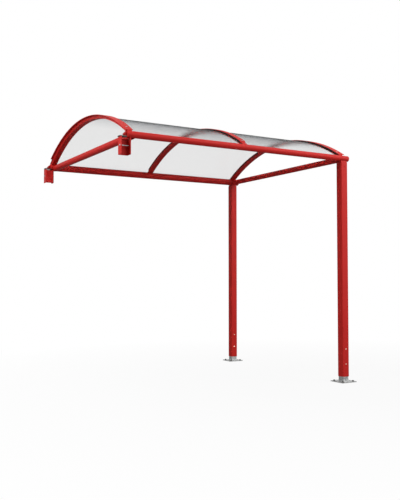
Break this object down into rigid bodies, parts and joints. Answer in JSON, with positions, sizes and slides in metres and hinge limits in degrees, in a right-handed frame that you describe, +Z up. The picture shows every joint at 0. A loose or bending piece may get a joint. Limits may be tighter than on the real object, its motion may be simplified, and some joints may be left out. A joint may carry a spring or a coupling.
{
  "type": "bike shelter add-on bay",
  "caption": "Open add-on bay of a bike shelter: barrel roof of clear sheet on arched ribs, round beams, square posts at one end and post clamps at the other.",
  "frame": {"origin": "centre of the underside of the front foot plate", "axes": "+X along the beams towards their capped ends, +Y from the front post to the rear post, +Z up"},
  "size_m": [2.564, 2.246, 2.6089],
  "materials": {
    "red_powder_coat": "satin",
    "red_plastic_cap": "satin",
    "galvanised_steel": "galvanised",
    "dark_steel": "dull",
    "black_rubber": "matte",
    "clear_sheet": "translucent"
  },
  "bodies": {
    "root": {"front_foot_plate": "galvanised_steel", "rear_foot_plate": "galvanised_steel", "front_foot_stub": "galvanised_steel", "rear_foot_stub": "galvanised_steel", "front_post": "red_powder_coat", "rear_post": "red_powder_coat", "front_post_spigot": "red_powder_coat", "rear_post_spigot": "red_powder_coat", "front_beam": "red_powder_coat", "rear_beam": "red_powder_coat", "front_beam_cap": "red_plastic_cap", "rear_beam_cap": "red_plastic_cap", "front_beam_end_plate": "red_powder_coat", "rear_beam_end_plate": "red_powder_coat", "left_tie": "red_powder_coat", "right_tie": "red_powder_coat", "front_clamp": "red_powder_coat", "rear_clamp": "red_powder_coat", "front_clamp_plate": "dark_steel", "rear_clamp_plate": "dark_steel", "front_clamp_gusset": "red_powder_coat", "rear_clamp_gusset": "red_powder_coat", "left_rib": "red_powder_coat", "middle_rib": "red_powder_coat", "right_rib": "red_powder_coat", "left_lower_seal": "black_rubber", "middle_lower_seal": "black_rubber", "right_lower_seal": "black_rubber", "left_upper_seal": "black_rubber", "middle_upper_seal": "black_rubber", "right_upper_seal": "black_rubber", "left_cover_strip": "red_powder_coat", "middle_cover_strip": "red_powder_coat", "right_cover_strip": "red_powder_coat", "left_roof_sheet": "clear_sheet", "right_roof_sheet": "clear_sheet"}
  },
  "joints": []
}
